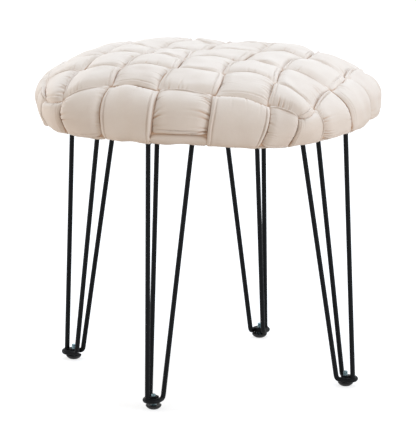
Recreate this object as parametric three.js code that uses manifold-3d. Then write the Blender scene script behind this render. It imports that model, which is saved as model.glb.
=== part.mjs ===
// Vanity stool: a woven, padded seat on four hairpin legs with screw-in levellers.
// Millimetres, +Z up, with the origin on the floor under the middle of the seat.
// The legs stand on the X and Y axes, and the straps of the seat run along X and Y.
import * as THREE from 'three'
import { mergeVertices } from 'three/addons/utils/BufferGeometryUtils.js'
import Module from 'manifold-3d'

const wasm = await Module()
wasm.setup()

// Clearance between pieces that touch, and how far a cut runs past what it cuts
const CLEARANCE = 0.3
const CUT_OVERRUN = 5

// Legs: copies of one leg, a quarter turn apart, the front one first
const LEG_NAMES = ['front', 'right', 'back', 'left']
const FRONT_LOOP_RAISE = 3.3
const LEG_RAISES = [FRONT_LOOP_RAISE, 0, 0, 0]
const FOOT_INSET = 15
const LEG_TWIST = THREE.MathUtils.degToRad(-4)
const ROD_DIAMETER = 6
const ROD_SIDES = 10
const LOOP_UNDERSIDE = 7.4
const LOOP_RADIUS = 9.8
const LOOP_OUTWARD_SHIFT = 4.5
const LOOP_STEPS = 8
const LOOP_BEND_RADIUS = 6.5
const LOOP_BEND_STEPS = 3
const ARM_FOOT_INWARD = 9.5
const ARM_TOP_SIDE_SHIFT = 5.2
const ARM_TOP_HALF_SPREAD = 27.1
const ARM_TOP_INWARD = 61.4
const OUTER_ROD_FOOT_SIDE = -3.4
const OUTER_ROD_FOOT_INWARD = -12.4
const OUTER_ROD_TOP_SIDE = -5.6
const OUTER_ROD_TOP_INWARD = -0.5

// Levellers: a pad on the floor and a stud with a flange that sits in the pad
const PAD_FOOT_RADIUS = 7.5
const PAD_RADIUS = 11
const PAD_HEIGHT = 6.2
const PAD_RIM_HEIGHT = 1.6
const PAD_RECESS_DEPTH = 1.2
const PAD_BOWL_STEPS = 4
const FLANGE_RADIUS = 9.5
const FLANGE_THICKNESS = 1.1
const STUD_DIAMETER = 6
const STUD_LENGTH = 15
const STUD_POINT = 0.8
const ROUND_SIDES = 16

// Weld nuts that the studs screw into, held inside the loops of the rods
const NUT_ACROSS_FLATS = 13
const NUT_BELOW_LOOP = 2.5
const NUT_ABOVE_LOOP = 4.5
const NUT_SIDES = 6

// Mounting plates and their wood screws, measured inwards from the foot
const PLATE_THICKNESS = 2.5
const PLATE_OUTER_EDGE = -3.8
const PLATE_INNER_EDGE = 82
const PLATE_OUTER_WIDTH = 44
const PLATE_INNER_WIDTH = 90
const PLATE_CORNER_RADIUS = 6
const OUTER_SCREW_END_MARGIN = 33.8
const OUTER_SCREW_SIDE_MARGIN = 5
const INNER_SCREW_END_MARGIN = 10
const INNER_SCREW_SIDE_MARGIN = 12
const SCREW_DIAMETER = 4
const SCREW_TIP_COVER = 1.1
const SCREW_POINT = 3
const SCREW_HEAD_DIAMETER = 8.4
const SCREW_HEAD_HEIGHT = 2.4
const SCREW_HEAD_EDGE = 1
const SCREW_SIDES = 8

// Seat outline and the layers under the straps
const SEAT_HALF_WIDTH = 222
const OUTLINE_POWER = 2.4
const SEAT_STEPS = 36
const CROWN_HEIGHT = 460
const CROWN_DEPTH = 57
const CROWN_POWER = 2.5
const DUST_COVER_THICKNESS = 0.6
const DUST_COVER_INSET = 20
const TAIL_THICKNESS = 1.8
const TUCK_DROP = 23.9
const TUCK_DEPTH = 30
const TUCK_POWER = 5
const BOARD_THICKNESS = 10
const BOARD_INSET = 14
const BOARD_EDGE_RADIUS = 3
const BOARD_EDGE_STEPS = 3
const FOAM_DEPTH_UNDER_WEAVE = 11.5
const FOAM_RING_SHARES = [0.2, 0.45, 0.7, 0.87, 0.96, 1]

// Weave: straps both ways and a ring band round the side, in cells of one strap's pitch
const STRAPS_EACH_WAY = 6
const SHOULDER_SHARE = 0.8945
const STRAP_EDGE_GAP = 1
const WEAVE_CORNER_POWER = 3.6
const WEAVE_EASE_POWER = 4
const BAND_DEPTH = 20
const SEAM_RISE = 5
const SEAM_SINK = 6
const CREST_RISE = 6
const CREST_SINK = 2
const SEAM_POWER = 0.5
const CREST_POWER = 0.8
const DIVE_POWER = 0.8
const CREST_EDGE_SHARE = 0.3
const ROLL_DEPTH = 6.5
const ROLL_END_SHARE = 0.25
const TAIL_STATION_SHARES = [ROLL_END_SHARE, 0.33, 1]
const PROFILE_STEPS = 16

// How the cover sits on the frame: turned a little on the legs, and sloping down to the back
const COVER_TURN = THREE.MathUtils.degToRad(3)
const COVER_SLOPE_SHARE = 0.045
const SLOPE_TOP_DEPTH = 28

// Derived heights, from the widest line of the seat down to the plates
const LOOP_HEIGHT = LOOP_UNDERSIDE + ROD_DIAMETER / 2
const WIDEST_HEIGHT = CROWN_HEIGHT - CROWN_DEPTH
const TAIL_HEIGHT = WIDEST_HEIGHT - TUCK_DROP
const TAIL_UNDERSIDE = TAIL_HEIGHT - TAIL_THICKNESS / 2
const BOARD_UNDERSIDE = TAIL_HEIGHT + TAIL_THICKNESS / 2 + 2 * CLEARANCE
const BOARD_TOP = BOARD_UNDERSIDE + BOARD_THICKNESS
const DUST_COVER_UNDERSIDE = TAIL_UNDERSIDE - CLEARANCE - DUST_COVER_THICKNESS
const PLATE_UNDERSIDE = DUST_COVER_UNDERSIDE - CLEARANCE - PLATE_THICKNESS

// Derived places in plan
const FOOT_RADIUS = SEAT_HALF_WIDTH - FOOT_INSET
const HALF_COUNT = STRAPS_EACH_WAY / 2
const STRAP_PITCH = (SEAT_HALF_WIDTH * SHOULDER_SHARE) / HALF_COUNT

// Materials
const velvet = () => new THREE.MeshStandardMaterial({ color: 0xe6ded4, roughness: 0.9 })
const blackPaint = () => new THREE.MeshStandardMaterial({ color: 0x1a1a1c, roughness: 0.45, metalness: 0.3 })
const zinc = () => new THREE.MeshStandardMaterial({ color: 0x9aa3ad, roughness: 0.35, metalness: 0.9 })
const blackPlastic = () => new THREE.MeshStandardMaterial({ color: 0x151515, roughness: 0.5 })
const plywood = () => new THREE.MeshStandardMaterial({ color: 0xc9a877, roughness: 0.8 })
const foam = () => new THREE.MeshStandardMaterial({ color: 0xe8d9a8, roughness: 1 })
const blackCloth = () => new THREE.MeshStandardMaterial({ color: 0x202020, roughness: 1 })

// Turns a closed three.js geometry into a solid, and back
function toSolid(geometry) {
  const bare = geometry.clone()
  bare.deleteAttribute('normal')
  bare.deleteAttribute('uv')
  const merged = mergeVertices(bare)
  const mesh = new wasm.Mesh({
    numProp: 3,
    vertProperties: new Float32Array(merged.attributes.position.array),
    triVerts: new Uint32Array(merged.index.array),
  })
  return new wasm.Manifold(mesh)
}

function toGeometry(solid) {
  const mesh = solid.getMesh()
  const geometry = new THREE.BufferGeometry()
  geometry.setAttribute('position', new THREE.BufferAttribute(mesh.vertProperties, 3))
  geometry.setIndex(new THREE.BufferAttribute(mesh.triVerts, 1))
  return geometry
}

// Builds a body from rings of points that follow each other. The rings run
// anticlockwise seen from the last ring, and each cap is a fan from its middle.
function ringBody(rings, options = {}) {
  const { looped = false, crossed = () => false } = options
  const size = rings[0].length
  const points = rings.flat()
  const faces = []
  const spans = looped ? rings.length : rings.length - 1
  for (let i = 0; i < spans; i++) {
    const next = (i + 1) % rings.length
    for (let j = 0; j < size; j++) {
      const side = (j + 1) % size
      const corners = [i * size + j, i * size + side, next * size + side, next * size + j]
      const [a, b, c, d] = corners
      if (crossed(i, j)) faces.push(a, b, d, b, c, d)
      else faces.push(a, b, c, a, c, d)
    }
  }
  if (!looped) {
    for (const [ring, first] of [[rings[0], 0], [rings.at(-1), points.length - size]]) {
      const middle = ring.reduce((sum, p) => sum.add(p), new THREE.Vector3()).divideScalar(size)
      const hub = points.length
      points.push(middle)
      for (let j = 0; j < size; j++) {
        const pair = [first + j, first + (j + 1) % size]
        if (first === 0) pair.reverse()
        faces.push(hub, ...pair)
      }
    }
  }
  const geometry = new THREE.BufferGeometry()
  geometry.setFromPoints(points)
  geometry.setIndex(faces)
  return geometry
}

const lathe = (profile, sides) => {
  const points = profile.map(([radius, height]) => new THREE.Vector2(radius, height))
  return new THREE.LatheGeometry(points, sides).rotateX(Math.PI / 2)
}

const cylinder = (radius, bottom, top, sides) =>
  new THREE.CylinderGeometry(radius, radius, top - bottom, sides)
    .rotateX(Math.PI / 2)
    .translate(0, 0, (bottom + top) / 2)

// A full circle in a shape gets twice the curve segments that are asked for
const arcSegments = (sides) => sides / 2

// A block that covers everything between two heights, for flush cuts
const slab = (bottom, top, width) =>
  new THREE.BoxGeometry(width, width, top - bottom).translate(0, 0, (bottom + top) / 2)

// The seat outline and its middle surface, half way through the weave

const powerSum = (x, y, power) => (Math.abs(x) ** power + Math.abs(y) ** power) ** (1 / power)

function outlineReach(x, y) {
  return (SEAT_HALF_WIDTH * Math.hypot(x, y)) / powerSum(x, y, OUTLINE_POWER)
}

// Level outward direction of the outline, scaled so that it is the slope of the share
function outlineSlope(x, y) {
  const sum = powerSum(x, y, OUTLINE_POWER)
  const pull = (v) => Math.sign(v) * (Math.abs(v) / sum) ** (OUTLINE_POWER - 1)
  return new THREE.Vector3(pull(x), pull(y), 0)
}

// A point of the crowned top and its outward normal
function crownPoint(x, y) {
  const share = powerSum(x, y, OUTLINE_POWER) / SEAT_HALF_WIDTH
  if (share === 0) return { point: new THREE.Vector3(0, 0, CROWN_HEIGHT), normal: new THREE.Vector3(0, 0, 1) }
  const rise = Math.sqrt(Math.max(0, 1 - share ** CROWN_POWER))
  const fall = (CROWN_DEPTH * CROWN_POWER * share ** (CROWN_POWER - 1)) / 2 / SEAT_HALF_WIDTH
  const normal = outlineSlope(x, y).multiplyScalar(fall).setZ(rise).normalize()
  return { point: new THREE.Vector3(x, y, WIDEST_HEIGHT + CROWN_DEPTH * rise), normal }
}

// A point of the drawn-in lower side. The turn runs from 0 at the widest height
// to a quarter turn at the inner end of the tucked tails.
function tuckPoint(x, y, turn) {
  const across = Math.max(0, Math.cos(turn)) ** (2 / TUCK_POWER)
  const down = Math.sin(turn) ** (2 / TUCK_POWER)
  const reach = outlineReach(x, y) - TUCK_DEPTH * (1 - across)
  const point = new THREE.Vector3(x, y, 0).setLength(reach).setZ(WIDEST_HEIGHT - TUCK_DROP * down)
  const level = outlineSlope(x, y).normalize().multiplyScalar(across ** (TUCK_POWER - 1) / TUCK_DEPTH)
  return { point, normal: level.setZ(-(down ** (TUCK_POWER - 1)) / TUCK_DROP).normalize() }
}

// Plan position of a grid point of the woven top, where the lines -3 and 3 are the shoulders
function gridPlan(a, b) {
  const far = Math.max(Math.abs(a), Math.abs(b))
  if (far === 0) return [0, 0]
  const corner = 1 / powerSum(a / far, b / far, WEAVE_CORNER_POWER)
  const scale = STRAP_PITCH * (1 - (1 - corner) * (far / HALF_COUNT) ** WEAVE_EASE_POWER)
  return [a * scale, b * scale]
}

// Path from the shoulder line down the side, for one place along the +X side.
// The first part ends at the band's lower edge and the second at the tails' ends.
function sidePath(along) {
  const [x, y] = gridPlan(HALF_COUNT, along)
  const startShare = powerSum(x, y, OUTLINE_POWER) / SEAT_HALF_WIDTH
  const startRise = Math.sqrt(1 - startShare ** CROWN_POWER)
  const bandTurn = Math.asin((BAND_DEPTH / TUCK_DROP) ** (TUCK_POWER / 2))
  const steps = Array.from({ length: PROFILE_STEPS + 1 }, (_, i) => i / PROFILE_STEPS)
  const crown = steps.map((step) => {
    const share = (1 - (startRise * (1 - step)) ** 2) ** (1 / CROWN_POWER)
    return crownPoint((x * share) / startShare, (y * share) / startShare)
  })
  const lower = steps.slice(1).map((step) => tuckPoint(x, y, bandTurn * step))
  const tail = steps.map((step) => tuckPoint(x, y, bandTurn + (Math.PI / 2 - bandTurn) * step))
  return [[...crown, ...lower], tail]
}

// The place at a share of a path's length
function alongPath(path, share) {
  const lengths = [0]
  for (let i = 1; i < path.length; i++) {
    lengths.push(lengths[i - 1] + path[i].point.distanceTo(path[i - 1].point))
  }
  const wanted = share * lengths.at(-1)
  let i = 1
  while (i < path.length - 1 && lengths[i] < wanted) i++
  const part = (wanted - lengths[i - 1]) / (lengths[i] - lengths[i - 1])
  return {
    point: path[i - 1].point.clone().lerp(path[i].point, part),
    normal: path[i - 1].normal.clone().lerp(path[i].normal, part).normalize(),
  }
}

// A place on the +X side: 0 to 1 beyond the shoulder is the band, 1 to 2 is the tail
function sidePlace(beyond, along) {
  const [band, tail] = sidePath(along)
  return beyond <= 1 ? alongPath(band, beyond) : alongPath(tail, beyond - 1)
}

function turned(place, quarters) {
  const axis = new THREE.Vector3(0, 0, 1)
  const angle = (quarters * Math.PI) / 2
  place.point.applyAxisAngle(axis, angle)
  place.normal.applyAxisAngle(axis, angle)
  return place
}

// A place on the middle surface for a strap along X, in grid units
function strapPlace(along, across) {
  if (along > HALF_COUNT) return sidePlace(along - HALF_COUNT, across)
  if (along < -HALF_COUNT) return turned(sidePlace(-along - HALF_COUNT, -across), 2)
  return crownPoint(...gridPlan(along, across))
}

// How far the weave stands out and in from the middle surface, from the swells
// of the two straps that cross: 1 on a strap's middle line, 0 at its edges
function weaveDepths(first, second) {
  const seam = (first + second - first * second) ** SEAM_POWER
  const crest = (first * second) ** CREST_POWER
  return {
    outer: SEAM_RISE * seam + CREST_RISE * crest,
    inner: -(SEAM_SINK * seam + CREST_SINK * crest),
  }
}

// The part of that depth that one strap takes: the outer part where it is over
// the other strap, and the inner part where it is under
function strapDepths(along, across, over) {
  const { outer, inner } = weaveDepths(along, across)
  const [upperAlong, upperAcross] = over ? [along, across] : [across, along]
  const cut = upperAlong ** DIVE_POWER / (upperAlong ** DIVE_POWER + upperAcross ** DIVE_POWER)
  const divide = inner + (outer - inner) * cut
  return over
    ? { outer: outer - CLEARANCE / 2, inner: divide + CLEARANCE / 2 }
    : { outer: divide - CLEARANCE / 2, inner: inner + CLEARANCE / 2 }
}

// A tail hangs as a padded roll outside the plates and then lies flat under the board
function tailDepths(beyond, across) {
  const half = TAIL_THICKNESS / 2
  if (beyond > ROLL_END_SHARE) return { outer: half, inner: -half }
  const seam = across ** SEAM_POWER
  return {
    outer: Math.max(half, ROLL_DEPTH * seam),
    inner: -Math.max(half, SEAM_SINK * seam * (1 - beyond) ** 2),
  }
}

const swell = (share) => Math.sin(Math.PI * share)
const isOdd = (n) => Math.abs(n) % 2 === 1

// Grid shares across one cell, the same both ways so that crossing straps match
const edgeShare = STRAP_EDGE_GAP / STRAP_PITCH
const CELL_SHARES = [edgeShare, CREST_EDGE_SHARE, 1 - CREST_EDGE_SHARE, 1 - edgeShare]

const offset = ({ point, normal }, depth) => point.clone().addScaledVector(normal, depth)

// One section of a strip: its outer points one way, then its inner points back
function stripSection(places, depths) {
  const outer = places.map((place, i) => offset(place, depths[i].outer))
  const inner = places.map((place, i) => offset(place, depths[i].inner))
  return [...outer, ...inner.reverse()]
}

// Both faces of a strip are split along the same diagonals as the strips they touch
const isOuterFace = (j) => j < CELL_SHARES.length

// A strap along X in one row of cells. It lies over the straps along Y where the
// cell numbers add up to an even number. A strap that is to be turned to run
// along Y has the diagonals of its top the other way.
function strapAlongX(row, forTurning) {
  const stations = []
  const acrossShares = CELL_SHARES.toReversed()
  const section = (along, depthsAt) => {
    const places = acrossShares.map((share) => strapPlace(along, row + share))
    const depths = acrossShares.map((share) => depthsAt(swell(share)))
    stations.push({ along, ring: stripSection(places, depths) })
  }
  const tail = (end, share) => {
    section(end * (HALF_COUNT + 1 + share), (across) => tailDepths(share, across))
  }
  for (const share of TAIL_STATION_SHARES.toReversed()) tail(-1, share)
  for (let cell = -HALF_COUNT - 1; cell <= HALF_COUNT; cell++) {
    const over = !isOdd(cell + row)
    for (const share of CELL_SHARES) {
      section(cell + share, (across) => strapDepths(swell(share), across, over))
    }
  }
  for (const share of TAIL_STATION_SHARES) tail(1, share)
  const crossed = (i, j) => {
    const onTop = Math.abs(stations[i].along) < HALF_COUNT && Math.abs(stations[i + 1].along) < HALF_COUNT
    return isOuterFace(j) !== (forTurning && onTop)
  }
  return ringBody(stations.map(({ ring }) => ring), { crossed })
}

// The ring band runs anticlockwise round the side, one cell for each strap end
function ringBand() {
  const rings = []
  for (let side = 0; side < LEG_NAMES.length; side++) {
    for (let cell = -HALF_COUNT; cell < HALF_COUNT; cell++) {
      const over = !isOdd(cell)
      for (const share of CELL_SHARES) {
        const places = CELL_SHARES.map((beyond) => turned(sidePlace(beyond, cell + share), side))
        const depths = CELL_SHARES.map((beyond) => strapDepths(swell(share), swell(beyond), over))
        rings.push(stripSection(places, depths))
      }
    }
  }
  return ringBody(rings, { looped: true, crossed: (i, j) => !isOuterFace(j) })
}

// Turns the cover or the foam on the frame and gives it its slope, from the board's top up
function settled(geometry) {
  geometry.rotateZ(COVER_TURN)
  const places = geometry.attributes.position
  for (let i = 0; i < places.count; i++) {
    const height = places.getZ(i)
    const part = THREE.MathUtils.smoothstep(height, BOARD_TOP + CLEARANCE, CROWN_HEIGHT - SLOPE_TOP_DEPTH)
    places.setZ(i, height - part * COVER_SLOPE_SHARE * places.getY(i))
  }
  return geometry
}

// Board, foam and dust cover, as stacks of rings that follow the seat outline

function outlineRing(pointAt) {
  return Array.from({ length: SEAT_STEPS }, (_, i) => {
    const angle = (2 * Math.PI * i) / SEAT_STEPS
    return pointAt(new THREE.Vector3(Math.cos(angle), Math.sin(angle), 0))
  })
}

const insetRing = (inset, height) =>
  outlineRing((way) => way.multiplyScalar(outlineReach(way.x, way.y) - inset).setZ(height))

function foamCore() {
  const crownRing = (share) => outlineRing((way) => {
    way.multiplyScalar(outlineReach(way.x, way.y) * share)
    return offset(crownPoint(way.x, way.y), -FOAM_DEPTH_UNDER_WEAVE)
  })
  const rings = [insetRing(FOAM_DEPTH_UNDER_WEAVE, BOARD_TOP + CLEARANCE)]
  for (const share of FOAM_RING_SHARES.toReversed()) rings.push(crownRing(share))
  return ringBody(rings)
}

function seatBoard() {
  const rings = []
  for (let i = 0; i <= BOARD_EDGE_STEPS; i++) {
    const angle = (Math.PI / 2) * (i / BOARD_EDGE_STEPS)
    const inset = BOARD_INSET + BOARD_EDGE_RADIUS * (1 - Math.sin(angle))
    rings.push(insetRing(inset, BOARD_UNDERSIDE + BOARD_EDGE_RADIUS * (1 - Math.cos(angle))))
  }
  rings.push(insetRing(BOARD_INSET, BOARD_TOP))
  return withScrewHoles(ringBody(rings))
}

function dustCover() {
  const top = DUST_COVER_UNDERSIDE + DUST_COVER_THICKNESS
  const rings = [DUST_COVER_UNDERSIDE, top].map((height) => insetRing(DUST_COVER_INSET, height))
  return withScrewHoles(ringBody(rings))
}

// Legs

// Places a leg, which is drawn with its foot at the origin and the seat towards +Y
function legMatrix(leg) {
  const quarter = new THREE.Matrix4().makeRotationZ((leg * Math.PI) / 2)
  const twist = new THREE.Matrix4().makeRotationZ(LEG_TWIST)
  return quarter.multiply(new THREE.Matrix4().makeTranslation(0, -FOOT_RADIUS, 0)).multiply(twist)
}

const outerScrewSide = PLATE_OUTER_WIDTH / 2 - OUTER_SCREW_SIDE_MARGIN
const outerScrewInward = PLATE_OUTER_EDGE + OUTER_SCREW_END_MARGIN
const innerScrewSide = PLATE_INNER_WIDTH / 2 - INNER_SCREW_SIDE_MARGIN
const innerScrewInward = PLATE_INNER_EDGE - INNER_SCREW_END_MARGIN
const screwPlaces = [
  new THREE.Vector3(-outerScrewSide, outerScrewInward, 0),
  new THREE.Vector3(outerScrewSide, outerScrewInward, 0),
  new THREE.Vector3(-innerScrewSide, innerScrewInward, 0),
  new THREE.Vector3(innerScrewSide, innerScrewInward, 0),
]
const screwHoleRadius = (SCREW_DIAMETER / 2 + CLEARANCE) / Math.cos(Math.PI / SCREW_SIDES)

function withScrewHoles(geometry) {
  let solid = toSolid(geometry)
  for (const leg of LEG_NAMES.keys()) {
    for (const place of screwPlaces) {
      const { x, y } = place.clone().applyMatrix4(legMatrix(leg))
      const bottom = PLATE_UNDERSIDE - CUT_OVERRUN
      const drill = cylinder(screwHoleRadius, bottom, BOARD_TOP + CUT_OVERRUN, SCREW_SIDES)
      solid = solid.subtract(toSolid(drill.translate(x, y, 0)))
    }
  }
  return toGeometry(solid)
}

// A path that is followed from station to station, so that straights need none between
class StationPath extends THREE.Curve {
  constructor(stations) {
    super()
    this.stations = stations
  }

  station(share) {
    return Math.round(share * (this.stations.length - 1))
  }

  getPointAt(share) {
    return this.stations[this.station(share)].clone()
  }

  getTangentAt(share) {
    const at = this.station(share)
    const before = this.stations[Math.max(0, at - 1)]
    const after = this.stations[Math.min(this.stations.length - 1, at + 1)]
    const into = this.stations[at].clone().sub(before).normalize()
    const out = after.clone().sub(this.stations[at]).normalize()
    return into.add(out).normalize()
  }
}

function rodAlong(stations) {
  const section = new THREE.Shape().absarc(0, 0, ROD_DIAMETER / 2, 0, 2 * Math.PI)
  return new THREE.ExtrudeGeometry(section, {
    steps: stations.length - 1,
    curveSegments: arcSegments(ROD_SIDES),
    extrudePath: new StationPath(stations),
  })
}

// Keeps the part of a rod between two heights, with both ends cut level
function trimmed(rod, bottom, top) {
  const keep = slab(bottom, top, 2 * FOOT_RADIUS)
  return toGeometry(toSolid(rod).intersect(toSolid(keep)))
}

const rodTop = PLATE_UNDERSIDE - CLEARANCE
const beyond = (from, to, extra) => to.clone().add(to.clone().sub(from).setLength(extra))

// Stations of one arm, from above the plate's underside down and round to the loop
function armStations(side, raise) {
  const height = LOOP_HEIGHT + raise
  const top = new THREE.Vector3(ARM_TOP_SIDE_SHIFT + side * ARM_TOP_HALF_SPREAD, ARM_TOP_INWARD, rodTop)
  const corner = new THREE.Vector3(side * LOOP_RADIUS, ARM_FOOT_INWARD, height)
  const loopStart = new THREE.Vector3(side * LOOP_RADIUS, -LOOP_OUTWARD_SHIFT, height)
  const up = top.clone().sub(corner).normalize()
  const level = loopStart.clone().sub(corner).normalize()
  const turn = Math.PI - up.angleTo(level)
  const reach = LOOP_BEND_RADIUS * Math.tan(turn / 2)
  const bend = new THREE.QuadraticBezierCurve3(
    corner.clone().addScaledVector(up, reach),
    corner,
    corner.clone().addScaledVector(level, reach),
  )
  return [beyond(corner, top, CUT_OVERRUN), ...bend.getPoints(LOOP_BEND_STEPS), loopStart]
}

function hairpinRod(raise) {
  const loop = Array.from({ length: LOOP_STEPS - 1 }, (_, i) => {
    const angle = (Math.PI * (i + 1)) / LOOP_STEPS
    const side = -LOOP_RADIUS * Math.cos(angle)
    return new THREE.Vector3(side, -LOOP_OUTWARD_SHIFT - LOOP_RADIUS * Math.sin(angle), LOOP_HEIGHT + raise)
  })
  const stations = [...armStations(-1, raise), ...loop, ...armStations(1, raise).reverse()]
  return trimmed(rodAlong(stations), 0, rodTop)
}

function outerRod(raise) {
  const bottom = LOOP_HEIGHT + raise + ROD_DIAMETER / 2 + CLEARANCE
  const foot = new THREE.Vector3(OUTER_ROD_FOOT_SIDE, OUTER_ROD_FOOT_INWARD, bottom)
  const top = new THREE.Vector3(OUTER_ROD_TOP_SIDE, OUTER_ROD_TOP_INWARD, rodTop)
  const ends = [beyond(top, foot, CUT_OVERRUN), beyond(foot, top, CUT_OVERRUN)]
  return trimmed(rodAlong(ends), bottom, rodTop)
}

// A four-sided outline with rounded corners
function roundedOutline(corners, radius) {
  const shape = new THREE.Shape()
  for (const [i, corner] of corners.entries()) {
    const before = corners.at(i - 1)
    const after = corners[(i + 1) % corners.length]
    const start = corner.clone().add(before.clone().sub(corner).setLength(radius))
    const end = corner.clone().add(after.clone().sub(corner).setLength(radius))
    if (i === 0) shape.moveTo(start.x, start.y)
    else shape.lineTo(start.x, start.y)
    shape.quadraticCurveTo(corner.x, corner.y, end.x, end.y)
  }
  shape.closePath()
  return shape
}

function mountingPlate() {
  const shape = roundedOutline([
    new THREE.Vector2(-PLATE_OUTER_WIDTH / 2, PLATE_OUTER_EDGE),
    new THREE.Vector2(PLATE_OUTER_WIDTH / 2, PLATE_OUTER_EDGE),
    new THREE.Vector2(PLATE_INNER_WIDTH / 2, PLATE_INNER_EDGE),
    new THREE.Vector2(-PLATE_INNER_WIDTH / 2, PLATE_INNER_EDGE),
  ], PLATE_CORNER_RADIUS)
  for (const { x, y } of screwPlaces) {
    shape.holes.push(new THREE.Path().absarc(x, y, screwHoleRadius, 0, 2 * Math.PI))
  }
  const options = { depth: PLATE_THICKNESS, bevelEnabled: false, curveSegments: arcSegments(SCREW_SIDES) }
  return new THREE.ExtrudeGeometry(shape, options).translate(0, 0, PLATE_UNDERSIDE)
}

function woodScrew() {
  const headTop = PLATE_UNDERSIDE - CLEARANCE
  const headBottom = headTop - SCREW_HEAD_HEIGHT
  const tip = BOARD_TOP - SCREW_TIP_COVER
  return lathe([
    [0, headBottom],
    [SCREW_HEAD_DIAMETER / 2 - SCREW_HEAD_EDGE, headBottom],
    [SCREW_HEAD_DIAMETER / 2, headBottom + SCREW_HEAD_EDGE],
    [SCREW_HEAD_DIAMETER / 2, headTop],
    [SCREW_DIAMETER / 2, headTop],
    [SCREW_DIAMETER / 2, tip - SCREW_POINT],
    [0, tip],
  ], SCREW_SIDES)
}

function weldNut(raise) {
  const shape = new THREE.Shape()
  const corner = NUT_ACROSS_FLATS / 2 / Math.cos(Math.PI / NUT_SIDES)
  for (let i = 0; i < NUT_SIDES; i++) {
    const angle = (2 * Math.PI * (i + 1 / 2)) / NUT_SIDES
    const [x, y] = [corner * Math.cos(angle), corner * Math.sin(angle)]
    if (i === 0) shape.moveTo(x, y)
    else shape.lineTo(x, y)
  }
  shape.closePath()
  const bore = (STUD_DIAMETER / 2 + CLEARANCE) / Math.cos(Math.PI / ROUND_SIDES)
  shape.holes.push(new THREE.Path().absarc(0, 0, bore, 0, 2 * Math.PI))
  return new THREE.ExtrudeGeometry(shape, {
    depth: NUT_BELOW_LOOP + NUT_ABOVE_LOOP,
    bevelEnabled: false,
    curveSegments: arcSegments(ROUND_SIDES),
  }).translate(0, 0, LOOP_HEIGHT + raise - NUT_BELOW_LOOP)
}

function levellerStud() {
  const flangeBottom = PAD_HEIGHT - PAD_RECESS_DEPTH + CLEARANCE
  const flangeTop = flangeBottom + FLANGE_THICKNESS
  const top = flangeTop + STUD_LENGTH
  return lathe([
    [0, flangeBottom],
    [FLANGE_RADIUS, flangeBottom],
    [FLANGE_RADIUS, flangeTop],
    [STUD_DIAMETER / 2, flangeTop],
    [STUD_DIAMETER / 2, top - STUD_POINT],
    [STUD_DIAMETER / 2 - STUD_POINT, top],
    [0, top],
  ], ROUND_SIDES)
}

function levellerPad() {
  const rim = PAD_HEIGHT - PAD_RIM_HEIGHT
  const bowl = Array.from({ length: PAD_BOWL_STEPS + 1 }, (_, i) => {
    const angle = ((Math.PI / 2) * i) / PAD_BOWL_STEPS
    const radius = PAD_FOOT_RADIUS + (PAD_RADIUS - PAD_FOOT_RADIUS) * Math.sin(angle)
    return [radius, rim * (1 - Math.cos(angle))]
  })
  const recess = FLANGE_RADIUS + CLEARANCE
  const floor = PAD_HEIGHT - PAD_RECESS_DEPTH
  return lathe([
    [0, 0], ...bowl, [PAD_RADIUS, PAD_HEIGHT], [recess, PAD_HEIGHT], [recess, floor], [0, floor],
  ], ROUND_SIDES)
}

// Assembly

function named(name, geometry, material) {
  const mesh = new THREE.Mesh(geometry, material)
  mesh.name = name
  return mesh
}

function buildLeg(leg) {
  const name = LEG_NAMES[leg]
  const raise = LEG_RAISES[leg]
  const group = new THREE.Group()
  group.applyMatrix4(legMatrix(leg))
  group.add(
    named(`${name}_plate`, mountingPlate(), blackPaint()),
    named(`${name}_hairpin_rod`, hairpinRod(raise), blackPaint()),
    named(`${name}_outer_rod`, outerRod(raise), blackPaint()),
    named(`${name}_weld_nut`, weldNut(raise), blackPaint()),
    named(`${name}_stud`, levellerStud(), zinc()),
    named(`${name}_pad`, levellerPad(), blackPlastic()),
  )
  for (const [i, place] of screwPlaces.entries()) {
    const screw = named(`${name}_screw_${i + 1}`, woodScrew(), zinc())
    screw.position.copy(place)
    group.add(screw)
  }
  return group
}

function buildSeat() {
  const group = new THREE.Group()
  group.add(
    named('dust_cover', dustCover(), blackCloth()),
    named('seat_board', seatBoard(), plywood()),
    named('foam_core', settled(foamCore()), foam()),
    named('ring_band', settled(ringBand()), velvet()),
  )
  for (let i = 0; i < STRAPS_EACH_WAY; i++) {
    const alongY = strapAlongX(HALF_COUNT - 1 - i, true).rotateZ(Math.PI / 2)
    group.add(
      named(`strap_x_${i + 1}`, settled(strapAlongX(i - HALF_COUNT, false)), velvet()),
      named(`strap_y_${i + 1}`, settled(alongY), velvet()),
    )
  }
  return group
}

const stool = new THREE.Group()
stool.add(buildSeat())
for (const leg of LEG_NAMES.keys()) stool.add(buildLeg(leg))

export default stool
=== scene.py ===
import math

import bmesh
import bpy
import numpy as np
from mathutils import Matrix, Vector


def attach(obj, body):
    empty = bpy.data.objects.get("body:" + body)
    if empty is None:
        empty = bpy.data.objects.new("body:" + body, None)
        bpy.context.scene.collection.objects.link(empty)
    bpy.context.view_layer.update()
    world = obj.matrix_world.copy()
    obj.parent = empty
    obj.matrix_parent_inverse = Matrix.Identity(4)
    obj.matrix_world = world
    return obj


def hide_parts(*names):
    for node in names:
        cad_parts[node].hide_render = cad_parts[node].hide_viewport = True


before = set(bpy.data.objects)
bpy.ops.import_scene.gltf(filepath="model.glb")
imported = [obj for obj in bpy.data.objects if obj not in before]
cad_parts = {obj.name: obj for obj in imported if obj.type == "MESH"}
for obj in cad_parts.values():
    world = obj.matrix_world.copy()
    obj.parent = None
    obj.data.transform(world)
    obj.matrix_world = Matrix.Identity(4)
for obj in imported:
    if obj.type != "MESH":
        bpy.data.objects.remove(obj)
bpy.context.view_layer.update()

# Lengths are in millimetres, in the frame of the CAD model, and meshes are made in metres
MM = 0.001
QUARTER_TURN = math.pi / 2
HALF_WAY = 0.5
LEAST_LENGTH = 1e-12
LEG_NAMES = ["front", "right", "back", "left"]

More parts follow.
